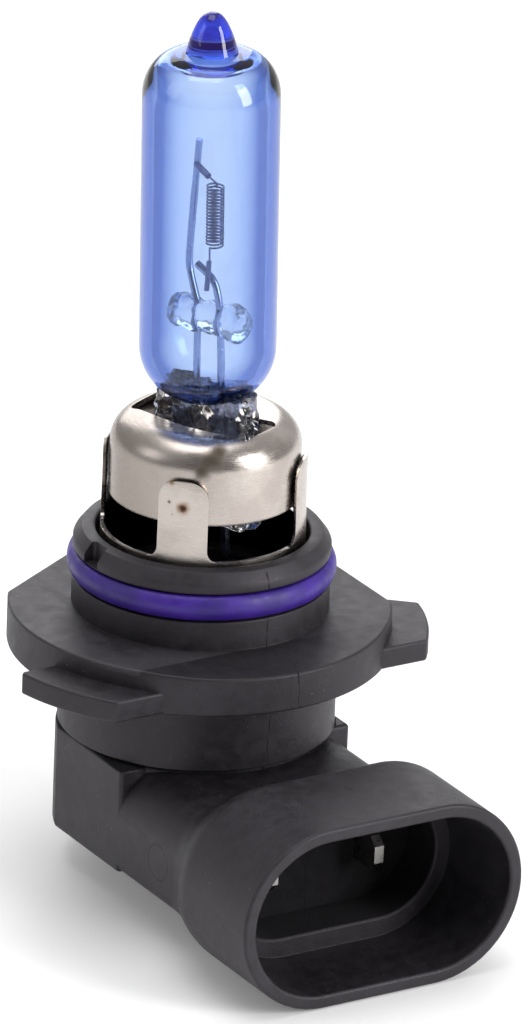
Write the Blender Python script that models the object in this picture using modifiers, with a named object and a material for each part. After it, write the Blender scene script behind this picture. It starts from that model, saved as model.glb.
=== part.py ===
"""A right-angle halogen headlight bulb, as an assembly of its separate pieces.

The origin is the centre of the flange's upper face, on the lamp's axis. +Z runs to the tip
of the glass, and the connector opens towards -Y. All lengths are in metres.
"""

import math

import bmesh
import bpy
from mathutils import Matrix, Vector

MM = 0.001
GAP = 0.3 * MM  # clearance between two pieces that touch
ROUND_STEPS = 36
ARC_STEP = math.radians(15)

# Base: collar, its stepped bore and the sealing ring's groove
COLLAR_RADIUS = 10.0 * MM
COLLAR_TOP = 6.3 * MM
COLLAR_CHAMFER = 0.5 * MM
BORE_RADIUS = 8.3 * MM
BORE_SHOULDER = 1.5 * MM
WELL_RADIUS = 7.0 * MM
WELL_FLOOR = -9.3 * MM
GROOVE_RADIUS = 9.0 * MM
SEAL_HEIGHT = 3.8 * MM
SEAL_HALF_HEIGHT = 1.15 * MM
SEAL_RADIUS = 10.47 * MM

# Base: flange with two flats, and three locking lugs
FLANGE_RADIUS = 14.9 * MM
FLANGE_THICKNESS = 3.37 * MM
FLANGE_FLAT = 13.35 * MM
FLAT_ANGLES = (0, 120)
LUG_RADIUS = 17.8 * MM
LUG_TOP = -1.6 * MM
LUG_ROOT = 8.0 * MM
SIDE_LUG_BACK = -2.8 * MM
SIDE_LUG_FRONT = -11.2 * MM
RIGHT_LUG_CORNER = 1.6 * MM
LEFT_LUG_CORNER = 0.3 * MM
REAR_LUG_ANGLES = (55, 81)

# Base: stem, body block and connector hood
STEM_RADIUS = 10.8 * MM
BLOCK_TOP = -9.4 * MM
BLOCK_BOTTOM = -18.6 * MM
BLOCK_HALF_WIDTH = 10.6 * MM
BLOCK_BACK_RADIUS = 11.1 * MM
BLOCK_FRONT = -5.6 * MM
SOCKET_HEIGHT = -14.4 * MM
NECK_WIDTH = 21.2 * MM
NECK_DEPTH = 8.5 * MM
HOOD_WIDTH = 24.7 * MM
HOOD_DEPTH = 14.8 * MM
HOOD_BACK = -19.6 * MM
HOOD_MOUTH = -28.5 * MM
FLARE = 5.3 * MM  # how far the neck takes to widen into the hood
HOOD_WALL = 1.1 * MM
LEDGE = -21.0 * MM
LEDGE_WIDTH = 20.8 * MM
LEDGE_DEPTH = 12.7 * MM
SOCKET_BACK = -17.6 * MM
SOCKET_WIDTH = 18.4 * MM
SOCKET_DEPTH = 9.6 * MM
POCKET_FLOOR = -11.5 * MM
POCKET_WIDTH = 16.6 * MM
POCKET_DEPTH = 6.0 * MM

# Terminals
BLADE_WIDTH = 2.8 * MM
BLADE_THICKNESS = 0.8 * MM
BLADE_SPACING = 9.4 * MM
BLADE_TIP = -20.0 * MM
TERMINAL_TOP = -1.5 * MM

# Metal cap and the clip ring that carries it
CAP_RADIUS = 7.3 * MM
CAP_BOTTOM = 9.2 * MM
CAP_TOP = 15.65 * MM
CAP_EDGE = 2.4 * MM
CAP_SHEET = 0.4 * MM
CLIP_SHEET = 0.35 * MM
CLIP_BOTTOM = BORE_SHOULDER + GAP
CLIP_BAND_TOP = 6.4 * MM
TAB_TOP = 12.95 * MM
TAB_WIDTH = 4.0 * MM
TAB_CORNER = 1.6 * MM
TAB_ANGLES = (47, 137)

# Glass capsule and its press seal
GLASS_STEPS = 32
TUBE_RADIUS = 5.3 * MM
TUBE_WALL = 0.95 * MM
TUBE_BOTTOM = 22.45 * MM
SHOULDER = 41.75 * MM
CROWN = 45.2 * MM
TIP_TOP = 48.25 * MM
TIP_RADIUS = 2.0 * MM
PRESS_WIDTH = 10.4 * MM
PRESS_THICKNESS = 2.8 * MM
PRESS_BOTTOM = 7.2 * MM
PRESS_ANGLE = math.radians(-66)
LEAN = math.radians(1.2)  # the capsule stands a little crooked in its cap
LEAN_AXIS = math.radians(58.5)
LEAN_HEIGHT = 14.0 * MM

# Wires, filament and foils, placed along the press seal's wide direction
WIRE_RADIUS = 0.275 * MM
COIL_RADIUS = 0.64 * MM
COIL_WIRE_RADIUS = 0.08 * MM
COIL_TURNS = 17
COIL_BOTTOM = 29.6 * MM
COIL_TOP = 34.5 * MM
COIL_OFFSET = 0.5 * MM
CLAMP_RADIUS = 0.3 * MM
BRIDGE_HEIGHT = 23.5 * MM
BRIDGE_LENGTH = 7.4 * MM
BRIDGE_RADIUS = 1.36 * MM
FOIL_OFFSET = 1.9 * MM
FOIL_WIDTH = 2.2 * MM
FOIL_THICKNESS = 0.2 * MM
FOIL_BOTTOM = 10.3 * MM
FOIL_TOP = 17.6 * MM
LEAD_RADIUS = 0.35 * MM
FERRULE_RADIUS = 1.1 * MM


def clear_scene():
    for obj in list(bpy.data.objects):
        bpy.data.objects.remove(obj, do_unlink=True)


def new_collection(name):
    collection = bpy.data.collections.new(name)
    bpy.context.scene.collection.children.link(collection)
    return collection


def principled(name, colour, roughness, metallic=0.0, transmission=0.0):
    material = bpy.data.materials.new(name)
    material.use_nodes = True
    shader = material.node_tree.nodes["Principled BSDF"]
    shader.inputs["Base Color"].default_value = (*colour, 1)
    shader.inputs["Roughness"].default_value = roughness
    shader.inputs["Metallic"].default_value = metallic
    shader.inputs["Transmission Weight"].default_value = transmission
    material.diffuse_color = (*colour, 1)
    return material


clear_scene()
PARTS = new_collection("headlight_bulb")
CUTTERS = new_collection("cutters")
PLASTIC = principled("black_plastic", (0.035, 0.035, 0.04), 0.55)
RUBBER = principled("purple_silicone", (0.07, 0.03, 0.33), 0.4)
NICKEL = principled("plated_steel", (0.62, 0.6, 0.56), 0.3, metallic=1.0)
BLUE_GLASS = principled("blue_glass", (0.25, 0.4, 0.9), 0.02, transmission=1.0)
QUARTZ = principled("clear_quartz", (0.85, 0.9, 1.0), 0.03, transmission=1.0)
TUNGSTEN = principled("tungsten", (0.3, 0.3, 0.32), 0.4, metallic=1.0)
MOLYBDENUM = principled("molybdenum", (0.45, 0.45, 0.48), 0.35, metallic=1.0)
TINNED = principled("tinned_brass", (0.75, 0.74, 0.7), 0.3, metallic=1.0)
COMPOUND = principled("sealing_compound", (0.05, 0.05, 0.055), 0.7)


def add(obj, material=None):
    """Puts an object among the parts, or among the cutters when it has no material."""
    for collection in obj.users_collection:
        collection.objects.unlink(obj)
    if material is None:
        CUTTERS.objects.link(obj)
        obj.hide_render = True
        obj.display_type = "WIRE"
    else:
        PARTS.objects.link(obj)
        obj.data.materials.clear()
        obj.data.materials.append(material)
    return obj


def smooth(obj, angle=35):
    obj.data.shade_smooth()
    obj.data.set_sharp_from_angle(angle=math.radians(angle))
    return obj


def seal_frame():
    """The capsule's own frame: X runs along the press seal's width, and Z up its axis."""
    pivot = flat_at(LEAN_HEIGHT)
    axis = Vector((math.cos(LEAN_AXIS), math.sin(LEAN_AXIS), 0))
    lean = pivot @ Matrix.Rotation(-LEAN, 4, axis) @ pivot.inverted()
    return lean @ Matrix.Rotation(PRESS_ANGLE, 4, "Z")


def on_seal(along, across, height):
    """A point given along and across the press seal, and up the capsule's axis."""
    return seal_frame() @ Vector((along, across, height))


def arc(centre, radius, start, end):
    """Points on a round stretch of an outline, from the start to the end angle in degrees."""
    first, last = math.radians(start), math.radians(end)
    count = max(2, math.ceil(abs(last - first) / ARC_STEP))
    angles = [first + (last - first) * i / count for i in range(count + 1)]
    return [
        (centre[0] + radius * math.cos(a), centre[1] + radius * math.sin(a)) for a in angles
    ]


def stadium(width, depth):
    """A flat outline with two straight sides and fully round ends."""
    radius = depth / 2
    reach = width / 2 - radius
    return arc((reach, 0), radius, -90, 90) + arc((-reach, 0), radius, 90, 270)


def turned(name, profile, material=None, steps=ROUND_STEPS):
    """Turns a profile of (radius, height) points about Z."""
    mesh = bpy.data.meshes.new(name)
    vertices = [(radius, 0, height) for radius, height in profile]
    edges = [(i, i + 1) for i in range(len(profile) - 1)]
    mesh.from_pydata(vertices, edges, [])
    obj = bpy.data.objects.new(name, mesh)
    screw = obj.modifiers.new("turn", "SCREW")
    screw.steps = screw.render_steps = steps
    screw.use_merge_vertices = True
    screw.merge_threshold = 0.01 * MM
    add(obj, material)
    return as_mesh(obj, material)


def as_mesh(obj, material=None):
    """Replaces a curve, or a mesh with modifiers, by the plain mesh that it makes."""
    name = obj.name
    bpy.context.view_layer.update()
    evaluated = obj.evaluated_get(bpy.context.evaluated_depsgraph_get())
    mesh = bpy.data.meshes.new_from_object(evaluated)
    matrix = obj.matrix_world.copy()
    bpy.data.objects.remove(obj)
    form = bmesh.new()
    form.from_mesh(mesh)
    bmesh.ops.remove_doubles(form, verts=form.verts, dist=0.005 * MM)
    bmesh.ops.dissolve_degenerate(form, edges=form.edges, dist=0.001 * MM)
    form.to_mesh(mesh)
    form.free()
    plain = bpy.data.objects.new(name, mesh)
    plain.matrix_world = matrix
    add(plain, material)
    return smooth(plain)


def plate(name, outline, thickness, place, material=None, edge=0.0):
    """A flat outline with a thickness, centred on its own plane and set in place."""
    curve = bpy.data.curves.new(name, "CURVE")
    curve.dimensions = "2D"
    curve.fill_mode = "BOTH"
    curve.extrude = thickness / 2
    spline = curve.splines.new("POLY")
    spline.points.add(len(outline) - 1)
    for point, (x, y) in zip(spline.points, outline):
        point.co = (x, y, 0, 1)
    spline.use_cyclic_u = True
    obj = bpy.data.objects.new(name, curve)
    add(obj, material)
    obj.matrix_world = place
    obj = as_mesh(obj, material)
    if edge:
        bevel = obj.modifiers.new("edge", "BEVEL")
        bevel.width = edge
        bevel.segments = 2
        bevel.limit_method = "ANGLE"
        bevel.angle_limit = math.radians(50)
        obj = as_mesh(obj, material)
    return obj


def flat_at(height):
    return Matrix.Translation((0, 0, height))


def facing_front(y, height=0.0):
    """An outline's X stays X and its Y becomes Z, on a plane across the Y axis."""
    return Matrix.Translation((0, y, height)) @ Matrix.Rotation(math.radians(90), 4, "X")


def facing_side(x):
    """An outline's X becomes Y and its Y becomes Z, on a plane across the X axis."""
    turn = Matrix.Rotation(math.radians(90), 4, "Z") @ Matrix.Rotation(math.radians(90), 4, "X")
    return Matrix.Translation((x, 0, 0)) @ turn


def facing_seal():
    """An outline's X runs along the press seal and its Y becomes Z."""
    return seal_frame() @ Matrix.Rotation(math.radians(90), 4, "X")


def rounded(points, corner):
    """Rounds the bends of a route with short quadratic curves."""
    points = [Vector(point) for point in points]
    route = [points[0]]
    for before, bend, after in zip(points, points[1:], points[2:]):
        reach = min(corner, (before - bend).length / 2, (after - bend).length / 2)
        first = bend + (before - bend).normalized() * reach
        last = bend + (after - bend).normalized() * reach
        for t in (0, 0.25, 0.5, 0.75, 1):
            route.append(first * (1 - t) ** 2 + bend * 2 * t * (1 - t) + last * t**2)
    route.append(points[-1])
    return route


def rod(name, route, radius, material=None):
    """A round wire of constant radius along a route, with closed ends."""
    curve = bpy.data.curves.new(name, "CURVE")
    curve.dimensions = "3D"
    curve.bevel_depth = radius
    curve.bevel_resolution = 2
    curve.use_fill_caps = True
    spline = curve.splines.new("POLY")
    spline.points.add(len(route) - 1)
    for point, place in zip(spline.points, route):
        point.co = (*place, 1)
    obj = bpy.data.objects.new(name, curve)
    add(obj, material)
    return as_mesh(obj, material)


def boolean(target, other, operation):
    modifier = target.modifiers.new(other.name, "BOOLEAN")
    modifier.operation = operation
    modifier.solver = "EXACT"
    modifier.object = other
    return target


def cut(target, *others):
    for other in others:
        boolean(target, other, "DIFFERENCE")
    return target


def join(target, *others):
    for other in others:
        boolean(target, other, "UNION")
    return target


def base_core():
    """The turned middle of the base: collar with its groove, and stem."""
    low = SEAL_HEIGHT - SEAL_HALF_HEIGHT - GAP
    high = SEAL_HEIGHT + SEAL_HALF_HEIGHT + GAP
    inside = FLANGE_THICKNESS / 2
    profile = [
        (0, COLLAR_TOP),
        (COLLAR_RADIUS - COLLAR_CHAMFER, COLLAR_TOP),
        (COLLAR_RADIUS, COLLAR_TOP - COLLAR_CHAMFER),
        (COLLAR_RADIUS, high),
        (GROOVE_RADIUS, high),
        (GROOVE_RADIUS, low),
        (COLLAR_RADIUS, low),
        (COLLAR_RADIUS, -inside),
        (STEM_RADIUS, -inside),
        (STEM_RADIUS, BLOCK_TOP - inside),
        (0, BLOCK_TOP - inside),
    ]
    return turned("base_housing", profile, PLASTIC)


def bore_cutter():
    """The stepped bore: a lead-in at the rim, the clip ring's seat, and the well."""
    above = COLLAR_TOP + 1 * MM
    rim = BORE_RADIUS + COLLAR_CHAMFER / 2
    profile = [
        (0, above),
        (rim + 1 * MM, above),
        (BORE_RADIUS, COLLAR_TOP - COLLAR_CHAMFER / 2),
        (BORE_RADIUS, BORE_SHOULDER),
        (WELL_RADIUS, BORE_SHOULDER),
        (WELL_RADIUS, WELL_FLOOR),
        (0, WELL_FLOOR),
    ]
    return turned("bore_cut", profile)


def flange():
    """The round flange, with its two flats."""
    half = math.degrees(math.acos(FLANGE_FLAT / FLANGE_RADIUS))
    first, second = FLAT_ANGLES
    outline = arc((0, 0), FLANGE_RADIUS, first + half, second - half)
    outline += arc((0, 0), FLANGE_RADIUS, second + half, 360 + first - half)
    middle = flat_at(-FLANGE_THICKNESS / 2)
    return plate("flange_form", outline, FLANGE_THICKNESS, middle, edge=0.25 * MM)


def lug(name, outline):
    height = FLANGE_THICKNESS + LUG_TOP - 0.02 * MM
    return plate(name, outline, height, flat_at(LUG_TOP - height / 2), edge=0.25 * MM)


def side_outline(corner):
    """A side lug's outline, as on the right: its ends run straight across, its back corner is cut."""
    back, front = (
        math.degrees(math.asin(y / LUG_RADIUS)) for y in (SIDE_LUG_BACK - corner, SIDE_LUG_FRONT)
    )
    outline = [(LUG_ROOT, SIDE_LUG_BACK), (LUG_ROOT, SIDE_LUG_FRONT)]
    outline += arc((0, 0), LUG_RADIUS, front, back)
    return outline + [(LUG_RADIUS - 1.5 * corner, SIDE_LUG_BACK)]


def lugs():
    """Two side lugs, and a rear lug with radial ends."""
    left = [(-x, y) for x, y in reversed(side_outline(LEFT_LUG_CORNER))]
    first, last = REAR_LUG_ANGLES
    rear = arc((0, 0), LUG_RADIUS, first, last) + arc((0, 0), LUG_ROOT, last, first)
    return (
        lug("lug_right", side_outline(RIGHT_LUG_CORNER)),
        lug("lug_left", left),
        lug("lug_rear", rear),
    )


def block():
    """The body under the stem: round at the back, with straight sides and a flat front."""
    half = math.degrees(math.acos(BLOCK_HALF_WIDTH / BLOCK_BACK_RADIUS))
    outline = [(-BLOCK_HALF_WIDTH, BLOCK_FRONT), (BLOCK_HALF_WIDTH, BLOCK_FRONT)]
    outline += arc((0, 0), BLOCK_BACK_RADIUS, half, 180 - half)
    height = BLOCK_TOP - BLOCK_BOTTOM
    place = flat_at((BLOCK_TOP + BLOCK_BOTTOM) / 2)
    return plate("block_form", outline, height, place, edge=0.4 * MM)


def loft(name, sections):
    """Joins stadium sections of unlike size, given as (y, width, depth), about the socket's axis."""
    form = bmesh.new()
    rings = [
        [form.verts.new((x, y, SOCKET_HEIGHT + z)) for x, z in stadium(width, depth)]
        for y, width, depth in sections
    ]
    for near, far in zip(rings, rings[1:]):
        for i in range(len(near)):
            j = (i + 1) % len(near)
            form.faces.new((near[i], near[j], far[j], far[i]))
    form.faces.new(rings[0])
    form.faces.new(rings[-1])
    bmesh.ops.recalc_face_normals(form, faces=form.faces)
    mesh = bpy.data.meshes.new(name)
    form.to_mesh(mesh)
    form.free()
    return smooth(add(bpy.data.objects.new(name, mesh)))


def hood():
    """The neck, which flares into the connector hood."""
    shares = [(BLOCK_FRONT + 3 * MM, 0.0), (HOOD_BACK + FLARE, 0.0)]
    shares += [
        (HOOD_BACK + FLARE * (1 - i / 6), math.sin(math.pi / 2 * i / 6) ** 2.2)
        for i in range(1, 7)
    ]
    shares.append((HOOD_MOUTH, 1.0))
    widen = HOOD_WIDTH - NECK_WIDTH
    deepen = HOOD_DEPTH - NECK_DEPTH
    sections = [(y, NECK_WIDTH + widen * part, NECK_DEPTH + deepen * part) for y, part in shares]
    return loft("hood_form", sections)


def socket_cutters():
    """The wide mouth, the narrower socket behind its ledge, and the blades' pocket."""
    width = HOOD_WIDTH - 2 * HOOD_WALL
    depth = HOOD_DEPTH - 2 * HOOD_WALL
    front = HOOD_MOUTH - 1 * MM
    cutters = [loft("mouth_cut", [(LEDGE, LEDGE_WIDTH, LEDGE_DEPTH), (front, width, depth)])]
    for name, size, back in (
        ("socket_cut", (SOCKET_WIDTH, SOCKET_DEPTH), SOCKET_BACK),
        ("pocket_cut", (POCKET_WIDTH, POCKET_DEPTH), POCKET_FLOOR),
    ):
        place = facing_front((front + back) / 2, SOCKET_HEIGHT)
        cutters.append(plate(name, stadium(*size), back - front, place))
    return cutters


def terminal_outline(grow=0.0, top=TERMINAL_TOP, tip=BLADE_TIP):
    """An L in the YZ plane: an upright leg, and the blade that runs forward into the socket."""
    half = BLADE_WIDTH / 2 + grow
    low, high = SOCKET_HEIGHT - half, SOCKET_HEIGHT + half
    return [(half, top), (-half, top), (-half, high), (tip, high), (tip, low), (half, low)]


def base_housing():
    housing = join(base_core(), flange(), block(), hood(), *lugs())
    cut(housing, bore_cutter(), *socket_cutters())
    channel = terminal_outline(grow=GAP, top=WELL_FLOOR + 1 * MM, tip=POCKET_FLOOR - 1 * MM)
    for side, name in ((-1, "left"), (1, "right")):
        place = facing_side(side * BLADE_SPACING / 2)
        thickness = BLADE_THICKNESS + 2 * GAP
        cut(housing, plate(f"channel_{name}", channel, thickness, place))
    return housing


def terminals():
    """Two flat stampings, each with an upright leg and a chamfered blade."""
    outline = terminal_outline()
    taper = BLADE_WIDTH / 4
    tip_low, tip_high = outline[4], outline[3]
    outline[3:5] = [
        (tip_high[0] + taper, tip_high[1]),
        (tip_high[0], tip_high[1] - taper),
        (tip_low[0], tip_low[1] + taper),
        (tip_low[0] + taper, tip_low[1]),
    ]
    for side, name in ((-1, "left"), (1, "right")):
        place = facing_side(side * BLADE_SPACING / 2)
        plate(f"terminal_{name}", outline, BLADE_THICKNESS, place, TINNED)


def well_disc(name, bottom, top, material):
    """A disc that fills the well, with a slot for each terminal's leg."""
    radius = WELL_RADIUS - GAP
    profile = [(0, top), (radius, top), (radius, bottom), (0, bottom)]
    disc = turned(name, profile, material)
    half, side = BLADE_WIDTH / 2 + GAP, BLADE_THICKNESS / 2 + GAP
    for x in (-BLADE_SPACING / 2, BLADE_SPACING / 2):
        slot = [(x - side, -half), (x + side, -half), (x + side, half), (x - side, half)]
        middle = flat_at((top + bottom) / 2)
        cut(disc, plate(f"{name}_slot", slot, top - bottom + 1 * MM, middle))
    return disc


def o_ring():
    """An oval sealing ring that stands proud of the collar."""
    inner = GROOVE_RADIUS + GAP * 2 / 3
    centre, half = (inner + SEAL_RADIUS) / 2, (SEAL_RADIUS - inner) / 2
    sides = 10
    angles = [math.pi / 2 - 2 * math.pi * i / sides for i in range(sides + 1)]
    profile = [
        (centre + half * math.cos(a), SEAL_HEIGHT + SEAL_HALF_HEIGHT * math.sin(a))
        for a in angles
    ]
    return turned("o_ring", profile, RUBBER)


def clip_ring():
    """A ring of sheet steel whose four upright tabs stand against the cap's side."""
    inner = CAP_RADIUS + GAP
    outer = inner + CLIP_SHEET
    profile = [(inner, CLIP_BOTTOM), (inner, TAB_TOP + 1 * MM), (outer, TAB_TOP + 1 * MM)]
    profile += [(outer, CLIP_BOTTOM), (inner, CLIP_BOTTOM)]
    ring = turned("clip_ring", profile, NICKEL)
    reach = outer + 1 * MM
    height = CLIP_BAND_TOP - CLIP_BOTTOM + 2 * MM
    stencil = plate(
        "clip_stencil", stadium(2 * reach, 2 * reach), height, flat_at(CLIP_BAND_TOP - height / 2)
    )
    half, corner = TAB_WIDTH / 2, TAB_CORNER
    outline = [(-half, CLIP_BOTTOM), (half, CLIP_BOTTOM)]
    outline += arc((half - corner, TAB_TOP - corner), corner, 0, 90)
    outline += arc((corner - half, TAB_TOP - corner), corner, 90, 180)
    for number, angle in enumerate(TAB_ANGLES, 1):
        place = Matrix.Rotation(math.radians(angle), 4, "Z") @ facing_front(0)
        join(stencil, plate(f"clip_tabs_{number}", outline, 2 * reach, place))
    return boolean(ring, as_mesh(stencil), "INTERSECT")


def metal_cap():
    """A drawn cup with a slightly dished top, slotted for the press seal."""
    inner = CAP_RADIUS - CAP_SHEET
    dish = 0.5 * MM
    edge = arc((CAP_RADIUS - CAP_EDGE, CAP_TOP - CAP_EDGE), CAP_EDGE, 90, 0)
    lining = arc(
        (CAP_RADIUS - CAP_EDGE, CAP_TOP - CAP_EDGE), CAP_EDGE - CAP_SHEET, 0, 90
    )
    profile = [(0, CAP_TOP - dish)] + edge + [(CAP_RADIUS, CAP_BOTTOM), (inner, CAP_BOTTOM)]
    profile += lining + [(0, CAP_TOP - dish - CAP_SHEET)]
    cap = turned("metal_cap", profile, NICKEL)
    half, side = PRESS_WIDTH / 2 + GAP, PRESS_THICKNESS / 2 + GAP
    slot = [(-half, -side), (half, -side), (half, side), (-half, side)]
    place = Matrix.Rotation(PRESS_ANGLE, 4, "Z") @ flat_at(CAP_TOP)
    return cut(cap, plate("cap_slot", slot, 4 * CAP_EDGE, place))


def glass_form():
    """The outside of the capsule, from its exhaust tip down to the rounded foot."""
    tip = [
        (TIP_RADIUS * math.sin(a), TIP_TOP - TIP_RADIUS * 1.1 + TIP_RADIUS * 1.1 * math.cos(a))
        for a in (math.radians(step) for step in range(0, 121, 20))
    ]
    rise = CROWN - SHOULDER
    crown = [
        (
            1.9 * MM + (TUBE_RADIUS - 1.9 * MM) * math.sin(a),
            SHOULDER + rise * math.cos(a),
        )
        for a in (math.radians(step) for step in range(0, 91, 15))
    ]
    foot = [
        (TUBE_RADIUS * math.cos(a), TUBE_BOTTOM - 4 * MM * math.sin(a))
        for a in (math.radians(step) for step in range(0, 91, 15))
    ]
    glass = turned("glass_envelope", tip + crown + foot, BLUE_GLASS, GLASS_STEPS)
    glass.data.transform(seal_frame())
    return glass


def glass_hollow():
    radius = TUBE_RADIUS - TUBE_WALL
    rise = CROWN - TUBE_WALL - SHOULDER
    crown = [
        (radius * math.sin(a), SHOULDER + rise * math.cos(a))
        for a in (math.radians(step) for step in range(0, 91, 15))
    ]
    foot = [
        (radius * math.cos(a), TUBE_BOTTOM - 2.8 * MM * math.sin(a))
        for a in (math.radians(step) for step in range(0, 91, 15))
    ]
    hollow = turned("glass_hollow", crown + foot, steps=GLASS_STEPS)
    hollow.data.transform(seal_frame())
    return hollow


def press_form():
    """The flattened foot of the glass, a slab that the cap grips."""
    height = TUBE_BOTTOM - 1 * MM - PRESS_BOTTOM
    half = PRESS_WIDTH / 2
    outline = [(-half, 0), (half, 0), (half, height), (-half, height)]
    place = facing_seal() @ Matrix.Translation((0, PRESS_BOTTOM, 0))
    return plate("press_form", outline, PRESS_THICKNESS, place, edge=0.4 * MM)


def foil_outline(side, grow=0.0):
    middle, half = side * FOIL_OFFSET, FOIL_WIDTH / 2 + grow
    low, high = FOIL_BOTTOM - grow, FOIL_TOP + grow
    return [(middle - half, low), (middle + half, low), (middle + half, high), (middle - half, high)]


def long_route():
    """The long support: up from the seal, out round the filament, to above its top."""
    points = [
        on_seal(-1.0 * MM, 0, FOIL_TOP + GAP),
        on_seal(-1.0 * MM, 0, 20.8 * MM),
        on_seal(-1.4 * MM, 0.5 * MM, 24.6 * MM),
        on_seal(-2.6 * MM, 0.95 * MM, 27.25 * MM),
        on_seal(-1.5 * MM, 0.6 * MM, 37.6 * MM),
    ]
    return rounded(points, 0.8 * MM)


def short_route():
    """The short support: up from the seal, with its end bent over under the filament."""
    points = [
        on_seal(1.35 * MM, 0, FOIL_TOP + GAP),
        on_seal(1.1 * MM, 0, 24.0 * MM),
        on_seal(0.6 * MM, 0.1 * MM, 26.5 * MM),
        on_seal(-1.2 * MM, 0.1 * MM, 27.7 * MM),
    ]
    return rounded(points, 1.1 * MM)


def coil_route():
    """The filament: a helix between its lower tail and its upper tail."""
    per_turn = 7
    count = COIL_TURNS * per_turn
    route = [on_seal(COIL_OFFSET, -COIL_RADIUS, COIL_BOTTOM - 0.9 * MM)]
    for i in range(count + 1):
        angle = 2 * math.pi * i / per_turn - math.pi / 2
        route.append(
            on_seal(
                COIL_OFFSET + COIL_RADIUS * math.cos(angle),
                COIL_RADIUS * math.sin(angle),
                COIL_BOTTOM + (COIL_TOP - COIL_BOTTOM) * i / count,
            )
        )
    route.append(on_seal(0.2 * MM, -0.1 * MM, COIL_TOP + 0.35 * MM))
    return route


def lead_route(side):
    """An outer lead, from its foil down and out to the ferrule on its terminal."""
    x = side * BLADE_SPACING / 2
    points = [
        on_seal(side * FOIL_OFFSET, 0, FOIL_BOTTOM - GAP),
        on_seal(side * FOIL_OFFSET, 0, 4.4 * MM),
        Vector((x, 0, 2.2 * MM)),
        Vector((x, 0, -0.9 * MM)),
    ]
    return rounded(points, 1.0 * MM)


def clamp(name, start, end):
    """A small sleeve crimped where a filament tail meets its support."""
    return rod(name, [start, (start + end) / 2, end], CLAMP_RADIUS, NICKEL)


def bridge():
    """The quartz bead that holds both support wires."""
    half, radius = BRIDGE_LENGTH / 2, BRIDGE_RADIUS
    profile = [
        (radius * math.sin(a), half - radius * 0.8 + radius * 0.8 * math.cos(a))
        for a in (math.radians(step) for step in range(0, 91, 15))
    ]
    profile += [(radius * 0.86, 0)]
    profile += [(r, -z) for r, z in reversed(profile[:-1])]
    bead = turned("quartz_bridge", profile, QUARTZ, steps=24)
    place = Matrix.Translation((-0.1 * MM, 0.2 * MM, BRIDGE_HEIGHT))
    bead.data.transform(seal_frame() @ place @ Matrix.Rotation(math.radians(90), 4, "Y"))
    return bead


def capsule():
    """The glass and all that it holds."""
    cores = [
        rod("long_clearance", long_route(), WIRE_RADIUS + GAP),
        rod("short_clearance", short_route(), WIRE_RADIUS + GAP),
    ]
    rod("long_support_wire", long_route(), WIRE_RADIUS, MOLYBDENUM)
    rod("short_support_wire", short_route(), WIRE_RADIUS, MOLYBDENUM)
    cut(bridge(), *cores)
    rod("filament_coil", coil_route(), COIL_WIRE_RADIUS, TUNGSTEN)
    glass = join(glass_form(), press_form())
    cut(glass, glass_hollow())
    for side, name in ((-1, "left"), (1, "right")):
        foil = foil_outline(side)
        plate(f"foil_{name}", foil, FOIL_THICKNESS, facing_seal(), MOLYBDENUM)
        room = foil_outline(side, GAP)
        cores.append(
            plate(f"foil_clearance_{name}", room, FOIL_THICKNESS + 2 * GAP, facing_seal())
        )
        rod(f"outer_lead_{name}", lead_route(side), LEAD_RADIUS, MOLYBDENUM)
        cores.append(rod(f"lead_clearance_{name}", lead_route(side), LEAD_RADIUS + GAP))
    cut(glass, *cores)
    clamp("upper_filament_clamp", on_seal(-0.95 * MM, 0.35 * MM, 35.8 * MM),
          on_seal(-0.1 * MM, 0.0, 35.15 * MM))
    clamp("lower_filament_clamp", on_seal(COIL_OFFSET, -0.75 * MM, 28.3 * MM),
          on_seal(COIL_OFFSET - 0.1 * MM, -0.75 * MM, 25.9 * MM))


def ferrules():
    """The sleeves that join each outer lead to its terminal."""
    bore = LEAD_RADIUS + GAP
    bottom, top = TERMINAL_TOP + GAP, 1.3 * MM
    profile = [(bore, bottom), (bore, top), (FERRULE_RADIUS, top), (FERRULE_RADIUS, bottom)]
    profile.append(profile[0])
    for side, name in ((-1, "left"), (1, "right")):
        sleeve = turned(f"lead_ferrule_{name}", profile, TINNED, steps=20)
        sleeve.data.transform(Matrix.Translation((side * BLADE_SPACING / 2, 0, 0)))


base_housing()
o_ring()
well_disc("terminal_holder", WELL_FLOOR + GAP, -6.3 * MM, COMPOUND)
well_disc("potting_seal", -6.0 * MM, -3.0 * MM, COMPOUND)
terminals()
ferrules()
clip_ring()
metal_cap()
capsule()
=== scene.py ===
import math
import random

import bmesh
import bpy
from mathutils import Matrix, Vector


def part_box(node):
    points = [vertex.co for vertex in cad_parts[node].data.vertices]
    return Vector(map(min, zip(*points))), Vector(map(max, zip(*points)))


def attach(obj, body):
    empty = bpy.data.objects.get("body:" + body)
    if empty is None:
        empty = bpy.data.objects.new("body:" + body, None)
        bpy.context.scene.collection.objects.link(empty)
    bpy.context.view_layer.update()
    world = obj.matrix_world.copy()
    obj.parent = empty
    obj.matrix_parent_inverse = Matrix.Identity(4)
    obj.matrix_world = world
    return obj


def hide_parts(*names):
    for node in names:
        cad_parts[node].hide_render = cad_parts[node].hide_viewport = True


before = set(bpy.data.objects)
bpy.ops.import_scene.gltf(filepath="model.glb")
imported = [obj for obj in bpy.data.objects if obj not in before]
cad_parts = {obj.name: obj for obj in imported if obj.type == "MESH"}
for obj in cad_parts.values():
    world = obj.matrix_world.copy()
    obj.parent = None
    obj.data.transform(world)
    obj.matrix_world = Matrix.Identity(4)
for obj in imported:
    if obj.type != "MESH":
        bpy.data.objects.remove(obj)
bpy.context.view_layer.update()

print("frame loaded:", len(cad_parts), "nodes")

mm = 0.001
fullTurn = 2 * math.pi

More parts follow.
